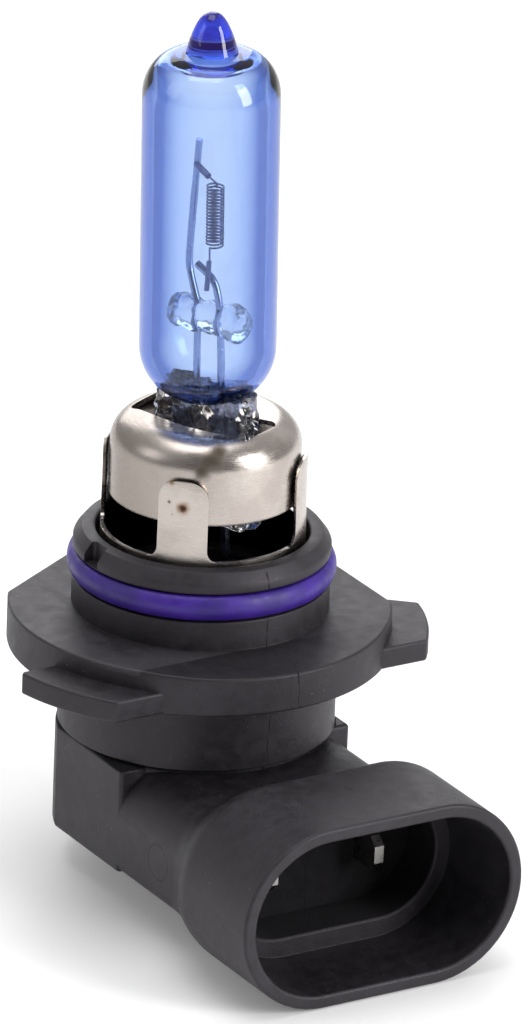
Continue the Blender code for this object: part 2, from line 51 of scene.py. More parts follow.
housingLow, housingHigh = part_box("base_housing")
ringLow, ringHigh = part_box("o_ring")
capLow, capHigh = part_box("metal_cap")
clipLow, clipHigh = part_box("clip_ring")
glassLow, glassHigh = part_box("glass_envelope")
coilLow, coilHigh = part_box("filament_coil")

# ---------------------------------------------------------------- camera

view = {
    "azimuth": -31.4,
    "elevation": 22.8,
    "roll": 2.3,
    "distance": 0.8,
    "pan": 0.006,
    "tilt": 0.0088,
    "lens": 363.6,
}


def addCamera():
    a, e = math.radians(view["azimuth"]), math.radians(view["elevation"])
    back = Vector((math.sin(a) * math.cos(e), -math.cos(a) * math.cos(e), math.sin(e)))
    right = Vector((math.cos(a), math.sin(a), 0))
    forward = (right * view["pan"] + back.cross(right) * view["tilt"] - back).normalized()
    side = forward.cross(Vector((0, 0, 1))).normalized()
    turn = Matrix.Rotation(math.radians(-view["roll"]), 3, forward)
    side = turn @ side
    rows = Matrix((side, side.cross(forward), -forward)).transposed()
    camera = bpy.data.objects.new("camera", bpy.data.cameras.new("camera"))
    camera.matrix_world = Matrix.Translation(back * view["distance"]) @ rows.to_4x4()
    camera.data.sensor_fit = "VERTICAL"
    camera.data.sensor_height = 36
    camera.data.lens = view["lens"]
    camera.data.clip_start = 0.01
    bpy.context.scene.collection.objects.link(camera)
    bpy.context.scene.camera = camera


addCamera()
print("camera set")

# ---------------------------------------------------------------- modelling


def deselect():
    bpy.ops.object.select_all(action="DESELECT")


def editing(piece):
    deselect()
    piece.select_set(True)
    bpy.context.view_layer.objects.active = piece
    bpy.ops.object.mode_set(mode="EDIT")


def done(piece):
    bpy.ops.object.mode_set(mode="OBJECT")
    piece.data.update()
    return piece


def pick(piece, test, kind="verts"):
    # selects in edit mode what lies in a place or faces a way
    form = bmesh.from_edit_mesh(piece.data)
    for group in (form.verts, form.edges, form.faces):
        for element in group:
            element.select_set(False)
    for element in getattr(form, kind):
        if test(element):
            element.select_set(True)
    form.select_flush_mode()
    bmesh.update_edit_mesh(piece.data)


def modify(piece, kind, **settings):
    deselect()
    piece.select_set(True)
    bpy.context.view_layer.objects.active = piece
    modifier = piece.modifiers.new(kind.lower(), kind)
    for key, value in settings.items():
        setattr(modifier, key, value)
    bpy.ops.object.modifier_apply(modifier=modifier.name)
    return piece


def combine(piece, other, how):
    modify(piece, "BOOLEAN", object=other, operation=how, solver="EXACT")
    bpy.data.objects.remove(other)
    return piece


def soften(piece, width, segments=3, angle=40):
    return modify(
        piece,
        "BEVEL",
        width=width,
        segments=segments,
        limit_method="ANGLE",
        angle_limit=math.radians(angle),
        miter_outer="MITER_ARC",
    )


def settle(piece, angle=35):
    # bakes the object's place into its mesh and shades it
    deselect()
    piece.select_set(True)
    bpy.context.view_layer.objects.active = piece
    bpy.ops.object.transform_apply(location=True, rotation=True, scale=True)
    bpy.ops.object.shade_smooth_by_angle(angle=math.radians(angle))
    return piece


def turned(name, profile, steps=144):
    # a point is drawn out along a profile of (radius, height), and the line is spun about Z
    deselect()
    bpy.ops.mesh.primitive_plane_add(size=mm)
    piece = bpy.context.object
    piece.name = name
    editing(piece)
    bpy.ops.mesh.select_all(action="SELECT")
    bpy.ops.mesh.merge(type="CENTER")
    bpy.ops.transform.translate(value=(profile[0][0], 0, profile[0][1]))
    for (r0, z0), (r1, z1) in zip(profile, profile[1:]):
        bpy.ops.mesh.extrude_vertices_move(TRANSFORM_OT_translate={"value": (r1 - r0, 0, z1 - z0)})
    bpy.ops.mesh.select_all(action="SELECT")
    bpy.ops.mesh.spin(steps=steps, angle=fullTurn, center=(0, 0, 0), axis=(0, 0, 1))
    bpy.ops.mesh.select_all(action="SELECT")
    bpy.ops.mesh.remove_doubles(threshold=0.002 * mm)
    bpy.ops.mesh.normals_make_consistent(inside=False)
    return done(piece)


def bend(centre, radius, start, end, steps=8):
    # points on a round stretch of a profile, from the start to the end angle in degrees
    angles = [math.radians(start + (end - start) * i / steps) for i in range(steps + 1)]
    return [
        (centre[0] + radius * math.cos(a), centre[1] + radius * math.sin(a)) for a in angles
    ]


def slab(name, width, depth, corner, thickness, place, segments=20):
    # a rectangle with rounded corners and a thickness, which grows along its own Z
    deselect()
    bpy.ops.mesh.primitive_plane_add(size=1)
    piece = bpy.context.object
    piece.name = name
    editing(piece)
    bpy.ops.mesh.select_all(action="SELECT")
    bpy.ops.transform.resize(value=(width, depth, 1))
    if corner:
        bpy.ops.mesh.bevel(offset=corner, segments=segments, affect="VERTICES")
        bpy.ops.mesh.select_all(action="SELECT")
        bpy.ops.mesh.remove_doubles(threshold=0.002 * mm)
    bpy.ops.mesh.select_all(action="SELECT")
    bpy.ops.mesh.extrude_region_move(TRANSFORM_OT_translate={"value": (0, 0, thickness)})
    bpy.ops.mesh.select_all(action="SELECT")
    bpy.ops.mesh.normals_make_consistent(inside=False)
    done(piece)
    piece.data.transform(place)
    return piece


def drawn(name, outline, thickness, place):
    # a flat outline of (x, y) points, given a thickness along its own Z
    deselect()
    bpy.ops.mesh.primitive_circle_add(vertices=len(outline), radius=mm, fill_type="NGON")
    piece = bpy.context.object
    piece.name = name
    editing(piece)
    form = bmesh.from_edit_mesh(piece.data)
    form.verts.ensure_lookup_table()
    for vert, (x, y) in zip(form.verts, outline):
        vert.co = (x, y, 0)
    bmesh.update_edit_mesh(piece.data)
    bpy.ops.mesh.select_all(action="SELECT")
    bpy.ops.mesh.extrude_region_move(TRANSFORM_OT_translate={"value": (0, 0, thickness)})
    bpy.ops.mesh.select_all(action="SELECT")
    bpy.ops.mesh.normals_make_consistent(inside=False)
    done(piece)
    piece.data.transform(place)
    return piece


def level(height):
    return Matrix.Translation((0, 0, height))


def across(y, height=0.0):
    # stands a slab's outline upright across the Y axis, growing towards -Y
    return Matrix.Translation((0, y, height)) @ Matrix.Rotation(math.radians(90), 4, "X")


def keep(piece, finish, slot, *nodes):
    piece.data.materials.clear()
    piece.data.materials.append(finish)
    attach(piece, "root")
    if nodes:
        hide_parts(*nodes)
    return piece


# ---------------------------------------------------------------- finishes


class Signal:
    # a shader socket that takes part in ordinary sums
    def __init__(self, finish, socket):
        self.finish = finish
        self.socket = socket

    def sum(self, operation, first, second):
        return self.finish.node("ShaderNodeMath", {"operation": operation}, {0: first, 1: second})

    def __add__(self, other):
        return self.sum("ADD", self, other)

    def __sub__(self, other):
        return self.sum("SUBTRACT", self, other)

    def __rsub__(self, other):
        return self.sum("SUBTRACT", other, self)

    def __mul__(self, other):
        return self.sum("MULTIPLY", self, other)

    def __truediv__(self, other):
        return self.sum("DIVIDE", self, other)

    def __pow__(self, other):
        return self.sum("POWER", self, other)

    def __abs__(self):
        return self.sum("ABSOLUTE", self, 0)

    def smallest(self, other):
        return self.sum("MINIMUM", self, other)

    def largest(self, other):
        return self.sum("MAXIMUM", self, other)

    __radd__ = __add__
    __rmul__ = __mul__


class Finish:
    # one material, with its own shader and the piece's own coordinates
    def __init__(self, name, colour, roughness, **constants):
        self.material = bpy.data.materials.new(name)
        self.material.use_nodes = True
        self.tree = self.material.node_tree
        self.shader = self.tree.nodes["Principled BSDF"]
        self.shader.inputs["Base Color"].default_value = (*colour, 1)
        self.shader.inputs["Roughness"].default_value = roughness
        for key, value in constants.items():
            self.shader.inputs[key].default_value = value
        self.place = self.node("ShaderNodeTexCoord", output="Object")

    def node(self, kind, settings=None, values=None, output=0):
        made = self.tree.nodes.new(kind)
        for key, value in (settings or {}).items():
            if key == "stops":
                ramp = made.color_ramp
                while len(ramp.elements) < len(value):
                    ramp.elements.new(0.5)
                for element, (position, colour) in zip(ramp.elements, value):
                    element.position = position
                    element.color = colour
            else:
                setattr(made, key, value)
        for key, value in (values or {}).items():
            if isinstance(value, Signal):
                self.tree.links.new(value.socket, made.inputs[key])
            else:
                made.inputs[key].default_value = value
        return Signal(self, made.outputs[output])

    def feed(self, **signals):
        for key, signal in signals.items():
            self.tree.links.new(signal.socket, self.shader.inputs[key.replace("_", " ")])
        return self

    def noise(self, size, detail=3.0, rough=0.5, place=None):
        return self.node(
            "ShaderNodeTexNoise",
            values={
                "Vector": place or self.place,
                "Scale": 1 / size,
                "Detail": detail,
                "Roughness": rough,
            },
        )

    def stretched(self, scale, turn=(0, 0, 0)):
        return self.node(
            "ShaderNodeMapping", values={"Vector": self.place, "Scale": scale, "Rotation": turn}
        )

    def steps(self, signal, low, high, first=0.0, last=1.0):
        # a smooth ramp from first to last as the signal goes from low to high
        return self.node(
            "ShaderNodeMapRange",
            {"interpolation_type": "SMOOTHSTEP"},
            {"Value": signal, 1: low, 2: high, 3: first, 4: last},
        )

    def blend(self, amount, first, second):
        # mixes two colours, each a plain colour or a signal
        return self.node(
            "ShaderNodeMix",
            {"data_type": "RGBA"},
            {
                0: amount,
                6: (*first, 1) if isinstance(first, tuple) else first,
                7: (*second, 1) if isinstance(second, tuple) else second,
            },
            output=2,
        )

    def near(self, point, radius, place=None):
        # 1 at a point, falling to 0 at a radius
        return self.steps(self.far(point, place), radius, 0.0)

    def far(self, point, place=None):
        values = {0: place or self.place, 1: point}
        return self.node("ShaderNodeVectorMath", {"operation": "DISTANCE"}, values, "Value")

    def part(self, axis):
        return self.node("ShaderNodeSeparateXYZ", values={0: self.place}, output=axis)

    def raise_(self, height, depth, over=None):
        # turns a height signal into a bump of a real depth
        values = {"Height": height, "Strength": 1.0, "Distance": depth}
        if over is not None:
            values["Normal"] = over
        return self.node("ShaderNodeBump", values=values)


def rounding(finish, radius):
    # softens the shading of the finest edges
    return finish.node("ShaderNodeBevel", {"samples": 4}, {"Radius": radius})


def mouldedPlastic(name, dark=(0.0095, 0.0082, 0.0102), light=(0.019, 0.017, 0.021)):
    finish = Finish(name, dark, 0.5, **{"Specular Tint": (1.0, 0.93, 1.02, 1)})
    clouds = finish.noise(6 * mm, 4)
    patch = finish.noise(1.1 * mm, 4, 0.6)
    grain = finish.noise(0.1 * mm, 2)
    colour = finish.blend(finish.steps(clouds * 0.4 + patch * 0.6, 0.38, 0.62), dark, light)
    fleck = finish.steps(finish.noise(0.2 * mm, 1), 0.735, 0.775)
    fleck = fleck * finish.steps(finish.noise(3.0 * mm, 1), 0.48, 0.62)
    colour = finish.blend(fleck * 0.8, colour, (0.15, 0.14, 0.145))
    rough = finish.steps(patch, 0.3, 0.7, 0.43, 0.53) + grain * 0.1
    finish.colour, finish.rough = colour, rough
    finish.bump = finish.raise_(patch, 0.03 * mm, finish.raise_(grain, 0.02 * mm, rounding(finish, 0.1 * mm)))
    return finish


def finished(finish):
    finish.feed(Base_Color=finish.colour, Roughness=finish.rough, Normal=finish.bump)
    return finish.material


# ---------------------------------------------------------------- base housing

collar = {
    "radius": 10.0 * mm,
    "crown": (9.35 * mm, 10.0 * mm),
    "crownDrop": 0.95 * mm,
    "lipBottom": 4.65 * mm,
    "grooveBottom": 2.35 * mm,
    "grooveRadius": 9.0 * mm,
    "stemRadius": 10.8 * mm,
    "bore": 8.3 * mm,
    "boreEdge": 0.2 * mm,
    "shoulder": 1.5 * mm,
    "well": 7.0 * mm,
    "wellFloor": -9.3 * mm,
    "notchAngle": 180,
    "notch": (2.0 * mm, 1.6 * mm),
}
flange = {
    "radius": 14.9 * mm,
    "thickness": 3.37 * mm,
    "flat": 13.35 * mm,
    "flatAngles": (0, 120),
    "edge": 0.2 * mm,
    "facetLine": -9.9 * mm,
    "facetSlope": 4.0,
}
lugs = {
    "radius": 17.8 * mm,
    "thickness": 1.75 * mm,
    "top": -1.6 * mm,
    "root": 8.0 * mm,
    "back": -2.8 * mm,
    "front": -11.2 * mm,
    "corners": (1.6 * mm, 0.3 * mm),
    "rearAngles": (55, 81),
    "edge": 0.2 * mm,
}
block = {
    "top": -9.95 * mm,
    "bottom": -18.6 * mm,
    "halfWidth": 10.3 * mm,
    "backRadius": 10.9 * mm,
    "front": -6.2 * mm,
    "groove": (0.6 * mm, 0.3 * mm),
    "edge": 0.35 * mm,
}
hood = {
    "height": -14.4 * mm,
    "neck": (20.6 * mm, 8.5 * mm),
    "neckCorners": (1.0 * mm, 3.9 * mm),
    "mouth": (24.7 * mm, 14.8 * mm),
    "back": -19.6 * mm,
    "flare": 5.3 * mm,
    "wall": 1.1 * mm,
    "ledge": -21.0 * mm,
    "ledgeSize": (20.8 * mm, 12.7 * mm),
    "socket": (18.4 * mm, 9.6 * mm),
    "socketBack": -17.0 * mm,
    "rimEdge": 0.28 * mm,
}
mouthY = housingLow.y
collarTop = housingHigh.z


def markedPlastic():
    # the same plastic with the mould's parting line, an ejector's ring and a few scuffs, plus painted light and shade
    # on the flange, in the socket and over the block's top
    finish = mouldedPlastic("moulded black plastic")
    x, y, z = (finish.part(axis) for axis in "XYZ")
    wander = (finish.noise(2.5 * mm, 2) - 0.5) * (0.5 * mm)
    line = finish.steps(abs(x + wander), 0.075 * mm, 0.02 * mm) * finish.steps(y, -9.4 * mm, -9.7 * mm)
    line = line * finish.steps(y, -17.5 * mm, -16.5 * mm)
    line = line * finish.steps(finish.noise(1.7 * mm, 2), 0.4, 0.52, 0.25, 1.0)
    ring = (-10.5 * mm, -12.2 * mm, -15.2 * mm)
    circle = finish.steps(abs(finish.far(ring) - 1.45 * mm), 0.1 * mm, 0.03 * mm) * 0.35
    out = finish.far((0, 0, 0), finish.stretched((1, 1, 0)))
    seam = finish.steps(abs(z - block["top"] - 0.1 * mm), 0.16 * mm, 0.08 * mm)
    seam = seam * finish.steps(out, 10.95 * mm, 10.85 * mm)
    # darker round the foot of the stem on the left, just over the block's top
    stemFootDark = finish.near((-9.6 * mm, -4.9 * mm, block["top"]), 2.4 * mm)
    stemFootDark = stemFootDark * finish.steps(z, block["top"] - 0.3 * mm, block["top"] - 0.1 * mm)
    line = line.largest(seam).largest(stemFootDark * finish.steps(z, block["top"] + 0.4 * mm, block["top"] + 0.15 * mm))
    scuff = finish.near((0.1 * mm, -22.3 * mm, -7.0 * mm), 1.1 * mm)
    scratch = finish.steps(
        finish.noise(0.25 * mm, 2, place=finish.stretched((1, 0.15, 1), (0, 0, 0.5))), 0.6, 0.66
    )
    mark = line.largest(circle).largest(scuff * scratch)
    # painted light and shade: the strip behind the flange's straight edge gets a painted lighter sheen, and the sloping
    # front in front of it a painted shade
    upper = finish.steps(abs(z + 0.1 * mm), 0.4 * mm, 0.3 * mm) * finish.steps(out, 10.1 * mm, 10.2 * mm)
    edge = flange["facetLine"]
    litStrip = finish.steps(y, edge - 0.1 * mm, edge + 0.1 * mm) * finish.steps(y, edge + 5 * mm, edge + 1 * mm)
    litStrip = litStrip * upper * finish.steps(x, 9 * mm, 0.0)
    shaded = finish.steps(y, edge + 0.1 * mm, edge - 0.1 * mm) * upper * finish.steps(x, 9 * mm, -2 * mm)
    finish.colour = finish.blend(litStrip * 0.8, finish.colour, (0.04, 0.036, 0.042))
    finish.colour = finish.blend(shaded * 0.8, finish.colour, (0.006, 0.005, 0.0065))
    # painted shade: inside the socket and over the block's top the colour is darkened nearly to black
    rise = abs(z - hood["height"])
    recessShade = finish.steps(y, hood["ledge"], hood["ledge"] + 0.4 * mm) * finish.steps(y, -16.4 * mm, -16.8 * mm)
    recessShade = recessShade * finish.steps(rise, 5.2 * mm, 5.05 * mm) * finish.steps(abs(x), 9.9 * mm, 9.6 * mm)
    blockTopShade = finish.steps(abs(z - block["top"]), 0.3 * mm, 0.1 * mm) * finish.steps(x, -5 * mm, -7 * mm)
    recessShade = recessShade.largest(blockTopShade * finish.steps(y, -9 * mm, -7 * mm))
    finish.colour = finish.blend(recessShade * 0.95, finish.colour, (0.0008, 0.0008, 0.001))
    finish.colour = finish.blend(mark * 0.85, finish.colour, (0.003, 0.0025, 0.003))
    finish.rough = finish.rough + mark * 0.3 + recessShade * 0.4
    finish.bump = finish.raise_(mark * -1, 0.05 * mm, finish.bump)
    return finished(finish)


plastic = markedPlastic()
print("plastic ready")

def core():
    radius, inside = collar["radius"], -flange["thickness"] / 2
    inner, outer = collar["crown"]
    drop, low, high = collar["crownDrop"], collar["grooveBottom"], collar["lipBottom"]
    profile = [(0, collarTop), (inner - 0.35 * mm, collarTop), (inner, collarTop - 0.1 * mm)]
    profile += [(outer - 0.1 * mm, collarTop - drop + 0.16 * mm), (outer, collarTop - drop - 0.05 * mm)]
    profile += bend((radius - 0.12 * mm, high + 0.12 * mm), 0.12 * mm, 0, -90, 3)
    profile += [(collar["grooveRadius"], high), (collar["grooveRadius"], low)]
    profile += bend((radius - 0.12 * mm, low - 0.12 * mm), 0.12 * mm, 90, 0, 3)
    profile += [(radius, inside), (collar["stemRadius"], inside)]
    # a narrow groove runs round the stem where it meets the block
    inward, tall = block["groove"]
    profile += [(collar["stemRadius"], block["top"] + tall)]
    profile += [(collar["stemRadius"] - inward, block["top"] + tall * 0.85)]
    profile += [(collar["stemRadius"] - inward, block["top"] - 2 * mm), (0, block["top"] - 2 * mm)]
    return turned("housing", profile, 192)


def flangePlate():
    radius, thickness = flange["radius"], flange["thickness"]
    half = math.degrees(math.acos(flange["flat"] / radius))
    first, second = flange["flatAngles"]
    outline = bend((0, 0), radius, first + half, second - half, 44)
    outline += bend((0, 0), radius, second + half, 360 + first - half, 110)
    plate = drawn("flangeForm", outline, thickness, level(-thickness))
    soften(plate, flange["edge"], 3, 50)
    # the front of the upper face slopes down slightly from a straight line
    editing(plate)
    bpy.ops.mesh.select_all(action="SELECT")
    line = (0, flange["facetLine"], 0)
    bpy.ops.mesh.bisect(plane_co=line, plane_no=(0, 1, 0))
    slope = math.tan(math.radians(flange["facetSlope"]))
    form = bmesh.from_edit_mesh(plate.data)
    for vert in form.verts:
        past = flange["facetLine"] - vert.co.y
        if vert.co.z > -0.3 * mm and past > 0:
            vert.co.z -= slope * past
    bmesh.update_edit_mesh(plate.data)
    return done(plate)


def lugOutline(corner):
    # the right lug: its ends run straight across, and its back corner is cut
    radius, root = lugs["radius"], lugs["root"]
    back, front = (
        math.degrees(math.asin(y / radius)) for y in (lugs["back"] - corner, lugs["front"])
    )
    outline = [(root, lugs["back"]), (root, lugs["front"])]
    outline += bend((0, 0), radius, front, back, 24)
    return outline + [(radius - 1.5 * corner, lugs["back"])]


def lugPlates():
    right, left = (lugOutline(corner) for corner in lugs["corners"])
    first, last = lugs["rearAngles"]
    rear = bend((0, 0), lugs["radius"], first, last, 20) + bend((0, 0), lugs["root"], last, first, 8)
    outlines = {"lugRight": right, "lugLeft": [(-x, y) for x, y in reversed(left)], "lugRear": rear}
    place = level(lugs["top"] - lugs["thickness"])
    return [
        soften(drawn(name, outline, lugs["thickness"], place), lugs["edge"], 3, 50)
        for name, outline in outlines.items()
    ]


def blockForm():
    half = math.degrees(math.acos(block["halfWidth"] / block["backRadius"]))
    outline = [(-block["halfWidth"], block["front"]), (block["halfWidth"], block["front"])]
    outline += bend((0, 0), block["backRadius"], half, 180 - half, 60)
    form = drawn("blockForm", outline, block["top"] - block["bottom"], level(block["bottom"]))
    return soften(form, block["edge"], 4, 50)


def section(width, depth, low=None, high=None, middle=None):
    # an outline across the hood's axis, whose lower and upper corners have their own radii
    middle = hood["height"] if middle is None else middle
    outline = []
    for side, up, start in ((1, 1, 90), (1, -1, 0), (-1, -1, -90), (-1, 1, -180)):
        radius = (high if up > 0 else low) or depth / 2 - 0.001 * mm
        centre = (side * (width / 2 - radius), middle + up * (depth / 2 - radius))
        outline += bend(centre, radius, start, start - 90, 22)
    return outline


def run(name, sections):
    # draws one outline out along -Y, and gives it each section's own outline on the way
    (start, first), *rest = sections
    form = drawn(name, first, 0.001 * mm, across(start))
    editing(form)
    pick(form, lambda vert: vert.co.y < start - 0.0005 * mm)
    was, y = first, start - 0.001 * mm
    for number, (place, outline) in enumerate(rest):
        if number:
            bpy.ops.mesh.extrude_region_move(TRANSFORM_OT_translate={"value": (0, place - y, 0)})
        shape = bmesh.from_edit_mesh(form.data)
        for vert in shape.verts:
            if vert.select:
                near = min(range(len(was)), key=lambda i: (vert.co.x - was[i][0]) ** 2 + (vert.co.z - was[i][1]) ** 2)
                vert.co = (outline[near][0], place, outline[near][1])
        bmesh.update_edit_mesh(form.data)
        was, y = outline, place
    bpy.ops.mesh.select_all(action="SELECT")
    bpy.ops.mesh.normals_make_consistent(inside=False)
    return done(form)


def between(first, last, share):
    return first + (last - first) * share


def hoodForm():
    (neckWidth, neckDepth), (width, depth) = hood["neck"], hood["mouth"]
    low, high = hood["neckCorners"]
    edge = hood["rimEdge"]
    start = hood["back"] + hood["flare"]
    inside = section(neckWidth - 0.3 * mm, neckDepth - 0.3 * mm, low, high)
    neck = section(neckWidth, neckDepth, low, high)
    sections = [(block["front"] + 3 * mm, inside), (block["front"] + 0.6 * mm, neck), (start, neck)]
    for i in range(1, 17):
        share = math.sin(math.pi / 2 * i / 16) ** 2.2
        sections.append(
            (
                start - hood["flare"] * i / 16,
                section(
                    between(neckWidth, width, share),
                    between(neckDepth, depth, share),
                    between(low, depth / 2 - 0.001 * mm, share),
                    between(high, depth / 2 - 0.001 * mm, share),
                ),
            )
        )
    sections.append((mouthY + edge, section(width, depth)))
    for i in (1, 2, 3, 4):
        angle = math.pi / 2 * i / 4
        inset = 2 * edge * (1 - math.cos(angle))
        sections.append((mouthY + edge * (1 - math.sin(angle)), section(width - inset, depth - inset)))
    return run("hoodForm", sections)


def socketForms():
    width, depth = (side - 2 * hood["wall"] for side in hood["mouth"])
    edge = hood["rimEdge"]
    sections = [(hood["ledge"], section(*hood["ledgeSize"])), (mouthY + edge, section(width, depth))]
    for i in (1, 2, 3, 4):
        angle = math.pi / 2 * i / 4
        grow = 2 * edge * (1 - math.cos(angle))
        sections.append((mouthY + edge * (1 - math.sin(angle)), section(width + grow, depth + grow)))
    sections.append((mouthY - 0.5 * mm, sections[-1][1]))
    wide = run("mouthForm", sections)
    (width, depth), lip = hood["socket"], 0.15 * mm
    lipped = section(width + 2 * lip, depth + 2 * lip)
    narrow = run(
        "socketForm",
        [
            (hood["socketBack"], section(width, depth)),
            (hood["ledge"] + lip, section(width, depth)),
            (hood["ledge"] - 0.001 * mm, lipped),
            (hood["ledge"] - 2 * mm, lipped),
        ],
    )
    return wide, narrow


def boreForm():
    bore, edge = collar["bore"], collar["boreEdge"]
    above = collarTop + 1 * mm
    profile = [(0, above), (bore + edge, above)]
    profile += bend((bore + edge, collarTop - edge), -edge, -90, 0, 5)
    profile += [(bore, collar["shoulder"]), (collar["well"], collar["shoulder"])]
    profile += [(collar["well"], collar["wellFloor"]), (0, collar["wellFloor"])]
    return turned("boreForm", profile, 192)


def notchForm():
    width, depth = collar["notch"]
    radius = collar["radius"]
    notch = slab("notchForm", 1.6 * mm, width, 0.3 * mm, 2 * mm, level(collarTop - depth), 5)
    notch.data.transform(
        Matrix.Rotation(math.radians(collar["notchAngle"]), 4, "Z")
        @ Matrix.Translation((radius - 0.2 * mm, 0, 0))
    )
    return notch


def baseHousing():
    housing = core()
    for form in (flangePlate(), blockForm(), hoodForm(), *lugPlates()):
        combine(housing, form, "UNION")
        print("joined:", len(housing.data.polygons), "faces")
    for form in (boreForm(), notchForm(), *socketForms()):
        combine(housing, form, "DIFFERENCE")
    settle(housing, 32)
    editing(housing)
    line = flange["facetLine"]
    pick(
        housing,
        lambda edge: all(abs(v.co.y - line) < 0.01 * mm and abs(v.co.z) < 0.3 * mm for v in edge.verts),
        "edges",
    )
    bpy.ops.mesh.mark_sharp()
    done(housing)
    modify(housing, "WEIGHTED_NORMAL", keep_sharp=True)
    return keep(housing, plastic, "black_plastic", "base_housing")


baseHousing()
print("base housing done")

# ---------------------------------------------------------------- sealing ring


def indigoSilicone():
    finish = Finish("indigo silicone", (0.045, 0.012, 0.26), 0.36)
    cloud = finish.noise(2.5 * mm, 3)
    colour = finish.blend(finish.steps(cloud, 0.3, 0.7), (0.022, 0.005, 0.16), (0.042, 0.010, 0.255))
    bump = finish.raise_(finish.noise(0.25 * mm, 3), 0.012 * mm)
    rough = finish.steps(finish.noise(0.9 * mm, 3), 0.35, 0.65, 0.4, 0.56)
    finish.feed(Base_Color=colour, Roughness=rough, Normal=bump)
    return finish.material


seal = {"height": 3.5 * mm, "half": 1.02 * mm}


def sealRing():
    inner = collar["grooveRadius"] + 0.02 * mm
    centre, half = (inner + ringHigh.x) / 2, (ringHigh.x - inner) / 2
    angles = [-fullTurn * i / 28 for i in range(29)]
    ring = turned(
        "sealRing",
        [(centre + half * math.cos(a), seal["height"] + seal["half"] * math.sin(a)) for a in angles],
        192,
    )
    settle(ring, 60)
    return keep(ring, indigoSilicone(), "purple_silicone", "o_ring")


sealRing()
print("sealing ring done")

# ---------------------------------------------------------------- cap and clip ring

cap = {
    "edge": 2.3 * mm,
    "sheet": 0.38 * mm,
    "dish": 0.45 * mm,
    "slot": (11.0 * mm, 4.6 * mm),
    "slotShift": -0.5 * mm,
    "slotCorner": 0.7 * mm,
    "sealAngle": -66,
}
clip = {
    "sheet": 0.36 * mm,
    "bandTop": 6.45 * mm,
    "tabWidth": 4.0 * mm,
    "tabCorner": 1.5 * mm,
    "rootCorner": 0.9 * mm,
    "firstTab": 47,
    "lean": 0.06 * mm,
}
capRadius = capHigh.x + 0.1 * mm


def plated(name, inner, sideShadeAmount, marks=()):
    # satin nickel with faint drawing marks, heat marks at given points, and painted shade on one side and on the inner
    # side
    finish = Finish(name, (0.5, 0.45, 0.41), 0.3, Metallic=1.0)
    cloud = finish.noise(4 * mm, 4)
    streak = finish.noise(1 * mm, 3, place=finish.stretched((1.0, 1.0, 14.0)))
    fine = finish.noise(0.12 * mm, 3)
    colour = finish.blend(finish.steps(cloud, 0.35, 0.65), (0.45, 0.40, 0.37), (0.58, 0.53, 0.49))
    # painted shade: the side turned away from the right-hand softbox is darkened
    way = finish.node("ShaderNodeVectorMath", {"operation": "DOT_PRODUCT"}, {0: finish.place, 1: (0.85, -0.52, 0.25)}, "Value")
    sideShade = finish.steps(way, 6 * mm, -5 * mm) * finish.steps(cloud, 0.2, 0.6, 0.8, 1.0)
    colour = finish.blend(sideShade * sideShadeAmount, colour, (0.21, 0.175, 0.155))
    rough = finish.steps(cloud * 0.5 + streak * 0.5, 0.35, 0.65, 0.22, 0.36)
    height = streak * 0.2 + fine * 0.4
    for point, radius, burn in marks:
        edge = finish.noise(radius * 0.5, 4) * (radius * 0.5)
        mark = finish.steps(finish.far(point) + edge, radius, radius * 0.35)
        colour = finish.blend(mark * 0.85, colour, burn)
        rough = rough + mark * 0.25
    # painted shade: the inner side, in the narrow gap against the cap, is darkened nearly to black
    innerShade = finish.steps(finish.far((0, 0, 0), finish.stretched((1, 1, 0))), inner, inner - 0.15 * mm)
    colour = finish.blend(innerShade, colour, (0.02, 0.018, 0.018))
    finish.feed(Base_Color=colour, Roughness=rough, Normal=finish.raise_(height, 0.012 * mm))
    return finish.material


def onCap(angle, radius, height):
    return (radius * math.cos(math.radians(angle)), radius * math.sin(math.radians(angle)), height)


def metalCap():
    edge, sheet = cap["edge"], cap["sheet"]
    top, low = capHigh.z, capLow.z
    centre = (capRadius - edge, top - edge)
    profile = [(0, top - cap["dish"])]
    profile += [(r * mm, top - cap["dish"] * math.cos(math.pi / 2 * (r * mm) / centre[0]) ** 1.4) for r in (1, 2, 3, 4)]
    profile += bend(centre, edge, 90, 0, 12)
    profile += [(capRadius, low + 0.1 * mm)]
    profile += bend((capRadius - sheet / 2, low + sheet / 2), sheet / 2, 0, -180, 6)
    profile += bend(centre, edge - sheet, 0, 90, 12)
    profile += [(0, top - cap["dish"] - sheet)]
    shell = turned("capShell", profile, 160)
    place = Matrix.Rotation(math.radians(cap["sealAngle"]), 4, "Z")
    place = place @ Matrix.Translation((0, cap["slotShift"], top - 3 * mm))
    combine(shell, slab("slotForm", *cap["slot"], cap["slotCorner"], 6 * mm, place, 6), "DIFFERENCE")
    settle(shell, 35)
    soot = (0.07, 0.055, 0.035)
    marks = [
        ((-3.14 * mm, -6.23 * mm, 14.55 * mm), 1.8 * mm, soot),
        ((-3.86 * mm, -6.0 * mm, 13.7 * mm), 1.4 * mm, soot),
        ((-2.36 * mm, -6.0 * mm, 15.1 * mm), 1.3 * mm, soot),
    ]
    return keep(shell, plated("cap nickel", 0, 0.75, marks), "plated_steel", "metal_cap")


def windowForm(angle):
    # what is cut away between two tabs, drawn on the unrolled ring and bent round it
    radius = clipHigh.x
    half = radius * math.radians(45) - clip["tabWidth"] / 2
    low, high = clip["bandTop"], clipHigh.z
    root, corner = clip["rootCorner"], clip["tabCorner"]
    side = bend((half - root, low + root), root, -90, 0, 6)
    side += bend((half + corner, high - corner), corner, 180, 90, 8)
    side += [(half + corner, high + 1 * mm)]
    outline = side + [(-s, z) for s, z in reversed(side)]
    bent = [(radius * math.sin(s / radius), z) for s, z in outline]
    form = drawn("windowForm", bent, 2 * radius, across(0))
    form.data.transform(Matrix.Rotation(math.radians(angle + 90), 4, "Z"))
    return form


